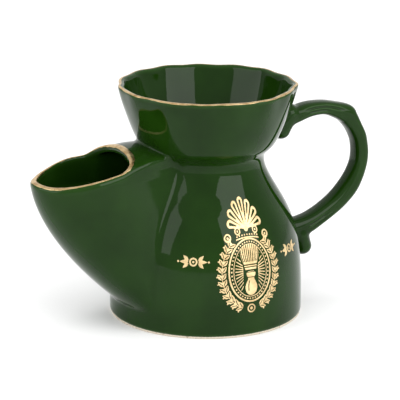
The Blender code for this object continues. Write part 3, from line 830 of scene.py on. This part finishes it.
# Gold: its bright and worn colours, and its least and greatest roughness.
RIM_GOLD = ((0.78, 0.57, 0.30), (0.50, 0.32, 0.14), 0.22, 0.38)
TRANSFER_GOLD = ((0.84, 0.65, 0.36), (0.64, 0.47, 0.24), 0.44, 0.56)


def glaze_material():
    """Dark green glaze: deeper in creases, thinner on edges, faintly mottled and rippled."""
    nodes = Nodes("green_glaze")
    relief = nodes.add("ShaderNodeAttribute", attribute_name="relief").outputs["Fac"]
    cloud = nodes.noise(42.0, 3.0)
    color = nodes.blend(nodes.span(cloud, 0.35, 0.65, 0.0, 1.0), GLAZE_DEEP, GLAZE_BODY)
    color = nodes.blend(nodes.span(relief, -0.05, -0.5, 0.0, 0.8), color, GLAZE_DEEP)
    color = nodes.blend(nodes.span(relief, 0.12, 0.9, 0.0, 0.7), color, GLAZE_THIN)
    specks = nodes.span(nodes.noise(900.0, 1.0), 0.70, 0.78, 0.0, 0.35)
    color = nodes.blend(specks, color, GLAZE_DEEP)
    ripple = nodes.bump(nodes.noise(70.0, 1.0), 0.03, 0.0012)
    fine = nodes.bump(nodes.noise(520.0, 1.0), 0.03, 0.0003, ripple)
    nodes.set(Base_Color=color, Roughness=nodes.span(nodes.noise(60.0, 3.0), 0.3, 0.7, 0.03, 0.055),
              IOR=1.5, Specular_IOR_Level=GLAZE_SPECULAR, Normal=fine)
    return nodes.material


def gold_material(name, bright, worn, smoothest, roughest):
    """Fired gold lustre: brushed on by hand, a little thin and worn in places."""
    nodes = Nodes(name)
    wear = nodes.span(nodes.noise(260.0, 4.0), 0.42, 0.66, 0.0, 1.0)
    color = nodes.blend(wear, bright, worn)
    rough = nodes.span(nodes.noise(700.0, 2.0), 0.3, 0.7, smoothest, roughest)
    bump = nodes.bump(nodes.noise(1400.0, 2.0), 0.12, 0.0002)
    nodes.set(Base_Color=color, Roughness=rough, Metallic=1.0, Normal=bump)
    return nodes.material


def clay_material():
    """Bare buff stoneware: gritty, with small darker specks."""
    nodes = Nodes("bare_clay")
    grain = nodes.noise(1500.0, 3.0)
    specks = nodes.span(nodes.noise(850.0, 1.0), 0.62, 0.70, 0.0, 0.6)
    color = nodes.blend(nodes.span(grain, 0.3, 0.7, 0.0, 1.0), CLAY_BUFF, CLAY_PALE)
    color = nodes.blend(specks, color, CLAY_SPECK)
    nodes.set(Base_Color=color, Roughness=0.85, Normal=nodes.bump(grain, 0.5, 0.0003))
    return nodes.material


def dress(item, material, slot, *nodes):
    """Give a piece its material and its body, and hide the CAD nodes it stands for. The slot
    argument is not used.
    """
    item.data.materials.append(material)
    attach(item, "root")
    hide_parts(*nodes)
    return item


# Pieces -------------------------------------------------------------------------------

# Glazed pieces: name, field, its box's low and high corner, its cells' size and its CAD nodes.
GLAZED = (("reservoir_bell", reservoir, (-48.0, -48.0, 0.0), (48.0, 48.0, 84.0), 0.88,
           ("reservoir_body", "neck_joint")),
          ("pouring_spout", spout, (-90.0, -38.0, 1.0), (-8.0, 38.0, 92.0), 0.66,
           ("spout_horn", "spout_joint")),
          ("soap_bowl_shell", bowl_with_drains, (-45.0, -45.0, 76.0), (45.0, 45.0, 111.5), 0.66,
           ("soap_bowl",)),
          ("strap_handle", handle, (18.0, -18.0, 10.0), (87.0, 18.0, 102.0), 0.5,
           ("handle", "handle_top_joint", "handle_base_joint")))


def build_ceramic(glaze):
    for name, field, low, high, cell, nodes in GLAZED:
        dress(solid_from_field(name, field, low, high, cell), glaze, "green_glaze", *nodes)


UPWARDS = np.array([0.0, 0.0, 1.0])


def rim_band(name, field, centres, outwards, spread):
    """Gold laid over a lip: rays from inside the lip fan out from spread's first angle to its
    second, in degrees up from outwards, and end on the glaze."""
    rows = []
    for share in np.linspace(0.0, 1.0, GOLD_RAYS):
        turn = np.radians(mix(spread[0], spread[1], share))
        ray = outwards * np.cos(turn)[:, None] + UPWARDS * np.sin(turn)[:, None]
        guess = centres + RIM_HALF_WIDTH * ray
        rows.append(onto_surface(field, guess, GOLD_LIFT, rounds=6))
    under = []
    for row in rows:
        slope = slope_of(field, row)
        slope /= np.sqrt((slope ** 2).sum(1))[:, None]
        under.append(row - slope * (GOLD_LIFT + GOLD_DEPTH))
    rings = rows + under[::-1]
    count, total = len(centres), len(rings)
    faces = [(r * count + c, r * count + (c + 1) % count,
              (r + 1) % total * count + (c + 1) % count, (r + 1) % total * count + c)
             for r in range(total) for c in range(count)]
    return make_mesh(name, np.concatenate(rings), faces)


def brushed_edge(angle, seed):
    """Wander of a hand-painted edge, in degrees round the lip."""
    return sum(depth * np.sin(count * angle + (i + 1.0) * seed)
               for i, (depth, count) in enumerate(GOLD_EDGE_WAVES))


def build_bowl_gilding(gold):
    angle = np.linspace(0.0, 2 * pi, BOWL_GOLD_STEPS, endpoint=False)
    outwards = np.stack([np.cos(angle), np.sin(angle), np.zeros(len(angle))], 1)
    radius = BOWL_OUTLINE[-1][0] - RIM_HALF_WIDTH + waves(RIM_WAVES, angle)
    centres = outwards * radius[:, None]
    centres[:, 2] = RIM_HEIGHT - RIM_HALF_WIDTH + waves(RIM_HEIGHT_WAVES, angle)
    spread = (BOWL_GOLD_SPREAD[0] + brushed_edge(angle, 1.0),
              BOWL_GOLD_SPREAD[1] + brushed_edge(angle, 4.0))
    band = rim_band("bowl_rim_gold", bowl_shell, centres, outwards, spread)
    dress(band, gold, "gilding", "bowl_gilding")


def build_spout_gilding(gold):
    angle = np.linspace(0.0, 2 * pi, SPOUT_GOLD_STEPS, endpoint=False)
    centre, nose, width = spout_slice(np.array(SPOUT_TIP_HEIGHT), SPOUT_LIP / 2)
    width += (SPOUT_LIP - MOUTH_SIDE_LIP) / 2
    reach = np.where(np.cos(angle) < 0.0, nose, MOUTH_INNER_END + SPOUT_LIP / 2 - centre)
    power = 2.0 / np.where(np.cos(angle) < 0.0, 2.0, MOUTH_SQUARENESS)
    x = centre + reach * np.sign(np.cos(angle)) * np.abs(np.cos(angle)) ** power
    y = width * np.sign(np.sin(angle)) * np.abs(np.sin(angle)) ** power
    outwards = np.stack([np.cos(angle) / reach, np.sin(angle) / width, np.zeros(len(angle))], 1)
    outwards /= np.sqrt((outwards ** 2).sum(1))[:, None]
    centres = np.stack([x, y, deck_height(x, y) - SPOUT_LIP / 2], 1)
    ends = np.abs(np.cos(angle)) ** 2
    spread = (mix(SPOUT_GOLD_SIDE[0], SPOUT_GOLD_END[0], ends) + brushed_edge(angle, 2.0),
              mix(SPOUT_GOLD_SIDE[1], SPOUT_GOLD_END[1], ends) + brushed_edge(angle, 5.0))
    band = rim_band("spout_rim_gold", spout, centres, outwards, spread)
    dress(band, gold, "gilding", "spout_gilding")


def foot_field(x, y, z):
    """Flat ring with a slightly gritty outline."""
    radius, angle = np.hypot(x, y), np.arctan2(y, x)
    grit = GRIT_DEPTH * np.sin(radius * 1.7 + 9.0 * angle) * np.sin(31.0 * angle)
    middle, half = (FOOT_RADIUS + FOOT_INNER_RADIUS) / 2, (FOOT_RADIUS - FOOT_INNER_RADIUS) / 2
    ring = np.abs(radius - middle) - half + grit
    return smooth_max(ring, np.abs(z - FOOT_MIDDLE_HEIGHT) - FOOT_HALF_HEIGHT, FOOT_ROUNDING)


def build_foot(clay):
    foot = solid_from_field("foot_ring_clay", foot_field, (-46.0, -46.0, -0.6), (46.0, 46.0, 2.4),
                            0.42, relief=False)
    dress(foot, clay, "bare_clay", "foot_ring")


# Transfer on the front ----------------------------------------------------------------

EMBLEM_ACROSS = 1.4          # the emblem sits a little right of the front
OVAL_HEIGHT = 31.2
OVAL_HALF_WIDTH = 11.4
OVAL_HALF_HEIGHT = 14.7
OVAL_BAND = 0.9
OVAL_BEADS = 46
OVAL_RAYS = 40
INNER_LINE = (2.75, 0.24)    # its place inside the oval and its half width
BEAD_LINE = 1.72
BEAD_RADIUS = 0.46
RAY_STRETCH = 1.25           # the fan of rays is this much narrower than a round one
RAY_HALF_WIDTH = 0.26
RAY_END = 3.4
RAY_CLEARANCE = 0.75
LAUREL_HEIGHT = 30.6
LAUREL_HALF_WIDTH = 14.3
LAUREL_HALF_HEIGHT = 17.2
LAUREL_LEAVES = 12
LAUREL_START = 18.0
LAUREL_END = 142.0
LEAF_LENGTH = 3.7
LEAF_HALF_WIDTH = 1.0
LEAF_LEAN = 36.0
LEAF_SWELL = 0.8             # below 1 a leaf is widest nearer its stalk
VEIN_HALF_WIDTH = 0.13
VEIN_MIDDLE = 0.42           # of the leaf's length
VEIN_REACH = 0.34
STEM_POINTS = 4              # points of the stem for each pair of leaves
STEM_HALF_WIDTH = 0.22
BERRY_OFFSET = 2.4
BERRY_RADIUS = 0.42
# Ring, its half width and dot, after the place where it is fixed. Other rings are alike.
ROSETTE = (10.9, 46.3, 1.55, 0.42, 0.62)
BRUSH_HANDLE = [(31.2, 1.2), (30.4, 2.3), (29.2, 2.3), (27.8, 1.6), (26.0, 2.4), (24.0, 3.1),
                (21.6, 2.7), (20.2, 1.5), (19.7, 0.0)]
HANDLE_GROOVES = (28.2, 30.6)
HANDLE_GROOVE_HALF_WIDTH = 0.15
SHINE_MIDDLE = 24.4
SHINE_HALF_HEIGHT = 2.4
SHINE_HALF_WIDTH = 0.18
SHINE_PLACE = 0.45           # of the handle's half width, left of its middle
BRUSH_ROOM = (3.2, 26.5, 7.2)     # half width, middle and half height, for handle and collar
COLLAR_MIDDLE = 32.7
COLLAR_HALF_HEIGHT = 1.0
COLLAR_HALF_WIDTHS = (2.9, 3.5)
COLLAR_SPAN = (31.7, 33.7)
COLLAR_GROOVE = (32.9, 0.13)
BRISTLES_LOW = 34.2
BRISTLES_HIGH = 43.4
BRISTLE_HALF_WIDTHS = (3.4, 5.6)
BRISTLE_STRANDS = 5.0        # each side of the middle
BRISTLE_GAP = 0.14
PALMETTE_HEIGHT = 46.6
PALMETTE_LENGTHS = (12.0, 11.6, 11.0, 9.8)
PALMETTE_ROOT = 3.2          # above the palmette's bar, which is at its height
ROOT_RADIUS = 1.3
PETAL_SPACING = 25.0
PETAL_START = 1.2
PETAL_STALK = 0.45
PETAL_RADIUS = 1.95
PETAL_SWELL = 1.3
DROP_START = 0.55            # of the petal's length
DROP_HALF_WIDTHS = (0.12, 0.62)
SCROLL_PLACE = (5.2, 2.3)
SCROLL_RINGS = (1.35, 0.4, 0.55)
BAR_HALF_WIDTH = 6.6
BAR_HALF_HEIGHT = 0.38
BAR_SAG = 0.02
BAR_DROP = 0.5
BAR_BEAD_SPACING = 1.45
BAR_BEAD_RISE = 0.65
BAR_BEAD_SAG = 0.042
SIDE_MOTIF_HEIGHT = 36.2
SIDE_BEAD_RINGS = (1.6, 0.42, 0.6)
SIDE_LEAVES = ((-0.75, 3.6), (0.0, 4.4), (0.75, 3.6))     # lean in radians, length
SIDE_LEAF_HALF_WIDTH = 0.85
SIDE_LEAF_START = 2.4
SIDE_DOT = (7.4, 0.55)
ROUNDEL_HEIGHT = 13.6
ROUNDEL_RINGS = (1.75, 0.35, 0.8)
TRANSFER_CELL = 0.2
TRANSFER_HALF_THICKNESS = 0.05
TRANSFER_LIFT = 0.02


def bell_radius(z):
    return np.interp(z, bell_wall[:, 1], bell_wall[:, 0])


def leaf(u, v, x, y, lean, length, half_width, vein=VEIN_HALF_WIDTH):
    """Pointed leaf from its stalk at (x, y), with an open vein."""
    along = (u - x) * cos(lean) + (v - y) * sin(lean)
    across = (v - y) * cos(lean) - (u - x) * sin(lean)
    share = np.clip(along / length, 0.0, 1.0)
    body = np.abs(across) - half_width * np.sin(pi * share ** LEAF_SWELL)
    shape = np.maximum(body, np.abs(along - length / 2) - length / 2)
    groove = np.maximum(np.abs(across) - vein,
                        np.abs(along - VEIN_MIDDLE * length) - VEIN_REACH * length)
    return np.maximum(shape, -groove) if vein else shape


def disc(u, v, x, y, radius):
    return np.hypot(u - x, v - y) - radius


def ringed_dot(u, v, x, y, ring, half_width, dot):
    """A ring, of the given radius and half width, round a dot."""
    return np.minimum(np.abs(disc(u, v, x, y, ring)) - half_width, disc(u, v, x, y, dot))


def oval(u, v):
    """Distance to the emblem's oval, good near its line."""
    a, b = u / OVAL_HALF_WIDTH, (v - OVAL_HEIGHT) / OVAL_HALF_HEIGHT
    value = np.hypot(a, b)
    slope = np.hypot(a / OVAL_HALF_WIDTH, b / OVAL_HALF_HEIGHT) / np.maximum(value, 1e-6)
    return (value - 1.0) / np.maximum(slope, 1e-6)


def laurel_shape(u, v):
    """Right branch: a stem with leaves and a berry at each step, and a rosette at its end."""
    angles = np.radians(-90.0 + np.linspace(LAUREL_START, LAUREL_END, STEM_POINTS * LAUREL_LEAVES))
    path = np.stack([LAUREL_HALF_WIDTH * np.cos(angles),
                     LAUREL_HEIGHT + LAUREL_HALF_HEIGHT * np.sin(angles)], 1)
    shape = nearest_on_line(path, u, v)[0] - STEM_HALF_WIDTH
    for i in range(0, len(path), STEM_POINTS):
        (x, y), (ahead_x, ahead_y) = path[i], path[i + 1]
        heading = np.arctan2(ahead_y - y, ahead_x - x)
        for turn in (-1, 1):
            shape = np.minimum(shape, leaf(u, v, x, y, heading + turn * radians(LEAF_LEAN),
                                           LEAF_LENGTH, LEAF_HALF_WIDTH))
        off = heading - pi / 2
        berry = path[i + 2] + BERRY_OFFSET * np.array([cos(off), sin(off)])
        shape = np.minimum(shape, disc(u, v, *berry, BERRY_RADIUS))
    return np.minimum(shape, ringed_dot(u, v, *ROSETTE))


def oval_shape(u, v):
    """Border of two lines with a row of beads between them, and fine rays behind the brush."""
    outer = oval(u, v)
    shape = np.maximum(outer, -(outer + OVAL_BAND))
    shape = np.minimum(shape, np.abs(outer + INNER_LINE[0]) - INNER_LINE[1])
    for turn in np.linspace(0.0, 2 * pi, OVAL_BEADS, endpoint=False):
        x = (OVAL_HALF_WIDTH - BEAD_LINE) * cos(turn)
        y = OVAL_HEIGHT + (OVAL_HALF_HEIGHT - BEAD_LINE) * sin(turn)
        shape = np.minimum(shape, disc(u, v, x, y, BEAD_RADIUS))
    across = RAY_STRETCH * u
    angle = np.arctan2(v - OVAL_HEIGHT, across)
    radius = np.hypot(across, v - OVAL_HEIGHT)
    ray = np.abs(np.sin(OVAL_RAYS / 2 * angle)) * radius / (OVAL_RAYS / 2) - RAY_HALF_WIDTH
    ray = np.maximum(np.maximum(ray, outer + RAY_END), RAY_CLEARANCE - brush_clearance(u, v))
    return np.minimum(shape, ray)


def brush_handle_shape(u, v):
    """Turned handle with two grooves and a strip of shine."""
    profile = smooth_line(BRUSH_HANDLE, OUTLINE_STEPS)[::-1]
    half = np.interp(v, profile[:, 0], profile[:, 1], left=-1.0, right=-1.0)
    shine = np.maximum(np.abs(u + SHINE_PLACE * half) - SHINE_HALF_WIDTH,
                       np.abs(v - SHINE_MIDDLE) - SHINE_HALF_HEIGHT)
    low, high = HANDLE_GROOVES
    grooves = np.minimum(np.abs(v - low), np.abs(v - high)) - HANDLE_GROOVE_HALF_WIDTH
    return np.maximum(np.maximum(np.abs(u) - half, -shine), -grooves)


def brush_collar_shape(u, v):
    half = mix(*COLLAR_HALF_WIDTHS, share_of(v, *COLLAR_SPAN))
    groove = np.abs(v - COLLAR_GROOVE[0]) - COLLAR_GROOVE[1]
    body = np.maximum(np.abs(u) - half, np.abs(v - COLLAR_MIDDLE) - COLLAR_HALF_HEIGHT)
    return np.maximum(body, -groove)


def bristle_spread(v):
    """Share of the bristles' height, and their half width there before the tips round off."""
    share = share_of(v, BRISTLES_LOW, BRISTLES_HIGH)
    return share, mix(*BRISTLE_HALF_WIDTHS, np.sin(pi / 2 * share ** 0.8))


def bristle_outline(u, v):
    share, spread = bristle_spread(v)
    half = spread * np.sqrt(np.maximum(1 - share ** 5, 0.0))
    middle, reach = (BRISTLES_LOW + BRISTLES_HIGH) / 2, (BRISTLES_HIGH - BRISTLES_LOW) / 2
    return np.maximum(np.abs(u) - half, np.abs(v - middle) - reach)


def bristles_shape(u, v):
    """Fan of strands that spread out from the collar."""
    half = bristle_spread(v)[1]
    strand = np.abs(u / half) * BRISTLE_STRANDS
    between = np.abs(strand - np.floor(strand) - 0.5) * half / BRISTLE_STRANDS
    gap = np.maximum(between - BRISTLE_GAP, BRISTLES_LOW + 1.0 - v)
    return np.maximum(bristle_outline(u, v), -gap)


def brush_clearance(u, v):
    """Distance-like room round the whole brush."""
    half_width, middle, half_height = BRUSH_ROOM
    body = np.maximum(np.abs(u) - half_width, np.abs(v - middle) - half_height)
    return np.minimum(body, bristle_outline(u, v))


def petal(u, v, x, y, lean, length):
    """Rounded petal that widens to its tip, with an open drop in it."""
    along = (u - x) * cos(lean) + (v - y) * sin(lean)
    across = (v - y) * cos(lean) - (u - x) * sin(lean)
    reach = length - PETAL_RADIUS
    place = np.clip(along, 0.0, reach)
    half = mix(PETAL_STALK, PETAL_RADIUS, (place / reach) ** PETAL_SWELL)
    shape = np.hypot(along - place, across) - half
    drop = np.clip(along, DROP_START * reach, reach)
    drop_half = mix(*DROP_HALF_WIDTHS, (drop / reach - DROP_START) / (1.0 - DROP_START))
    return np.maximum(shape, drop_half - np.hypot(along - drop, across))


def palmette_shape(u, v):
    """Fan of rounded petals over a pair of scrolls, a row of beads and a curved bar."""
    root = PALMETTE_HEIGHT + PALMETTE_ROOT
    shape = disc(u, v, 0.0, root, ROOT_RADIUS)
    for i in range(-3, 4):
        lean = pi / 2 - radians(PETAL_SPACING) * i
        x, y = PETAL_START * cos(lean), root + PETAL_START * sin(lean)
        shape = np.minimum(shape, petal(u, v, x, y, lean, PALMETTE_LENGTHS[abs(i)]))
    for side in (-1, 1):
        x, y = side * SCROLL_PLACE[0], PALMETTE_HEIGHT + SCROLL_PLACE[1]
        shape = np.minimum(shape, ringed_dot(u, v, x, y, *SCROLL_RINGS))
    sag = BAR_SAG * u * u
    bar = np.maximum(np.abs(u) - BAR_HALF_WIDTH,
                     np.abs(v - PALMETTE_HEIGHT + sag + BAR_DROP) - BAR_HALF_HEIGHT)
    for i in range(-4, 5):
        y = PALMETTE_HEIGHT + BAR_BEAD_RISE - BAR_BEAD_SAG * i * i
        bar = np.minimum(bar, disc(u, v, BAR_BEAD_SPACING * i, y, BEAD_RADIUS))
    return np.minimum(shape, bar)


def flourish_shape(u, v):
    """Three leaves either side of a pierced bead, with small dots at the ends."""
    height = SIDE_MOTIF_HEIGHT
    shape = ringed_dot(u, v, 0.0, height, *SIDE_BEAD_RINGS)
    for side in (-1, 1):
        for tilt, length in SIDE_LEAVES:
            lean = tilt if side > 0 else pi - tilt
            shape = np.minimum(shape, leaf(u, v, SIDE_LEAF_START * side, height + 0.6 * tilt, lean,
                                           length, SIDE_LEAF_HALF_WIDTH, 0.0))
        shape = np.minimum(shape, disc(u, v, SIDE_DOT[0] * side, height, SIDE_DOT[1]))
    return shape


def roundel_shape(u, v):
    return ringed_dot(u, v, 0.0, ROUNDEL_HEIGHT, *ROUNDEL_RINGS)


def transfer_piece(gold, name, node, shape, box, flip=1.0, across=EMBLEM_ACROSS):
    """Thin gold islands of a flat shape, wrapped round the front of the bell."""
    def field(u, v, w):
        return np.maximum(shape(flip * (u - across), v), (np.abs(w) - 1.0) * TRANSFER_CELL)

    near, far = sorted(across + flip * edge for edge in box[0])
    bottom, top = box[1]
    cell = (TRANSFER_CELL, TRANSFER_CELL, 1.0)
    points, quads = surface_nets(field, (near, bottom, -2.0), (far, top, 2.0), cell)
    u, v, w = points.T
    radius = bell_radius(v) + TRANSFER_LIFT + TRANSFER_HALF_THICKNESS * w
    angle = u / BELL_OUTLINE[0][0]
    wrapped = np.stack([radius * np.sin(angle), -radius * np.cos(angle), v], 1)
    dress(make_mesh(name, wrapped, quads), gold, "gilding", node)


LAUREL_BOX = ((1.6, 18.0), (9.6, 49.4))
SIDE_BOX = ((-8.2, 8.2), (32.6, 39.8))
# Pieces: name, CAD node, shape, the spans of its box across and up, and, if they aren't the
# usual ones, which way it faces and how far its middle is round the bell.
TRANSFER = (("oval_frame", "oval_border", oval_shape, ((-12.2, 12.2), (15.6, 46.8))),
            ("laurel_branch_right", "laurel_right", laurel_shape, LAUREL_BOX),
            ("laurel_branch_left", "laurel_left", laurel_shape, LAUREL_BOX, -1.0),
            ("brush_grip", "brush_handle", brush_handle_shape, ((-4.0, 4.0), (19.0, 31.6))),
            ("brush_ferrule", "brush_collar", brush_collar_shape, ((-4.2, 4.2), (31.2, 34.2))),
            ("brush_hair", "brush_bristles", bristles_shape, ((-6.6, 6.6), (33.6, 44.2))),
            ("palmette_fan", "palmette", palmette_shape, ((-13.6, 13.6), (44.0, 64.6))),
            ("side_flourish_left", "side_motif_left", flourish_shape, SIDE_BOX, 1.0, -26.5),
            ("side_flourish_right", "side_motif_right", flourish_shape, SIDE_BOX, 1.0, 29.0),
            ("roundel", "lower_roundel", roundel_shape, ((-2.8, 2.8), (10.8, 16.4))))


def build_transfer(gold):
    for row in TRANSFER:
        transfer_piece(gold, *row)


def main():
    build_camera()
    build_stage()
    build_lights()
    glaze = glaze_material()
    rim_gold = gold_material("rim_gold", *RIM_GOLD)
    transfer_gold = gold_material("transfer_gold", *TRANSFER_GOLD)
    build_ceramic(glaze)
    build_foot(clay_material())
    build_bowl_gilding(rim_gold)
    build_spout_gilding(rim_gold)
    build_transfer(transfer_gold)


main()
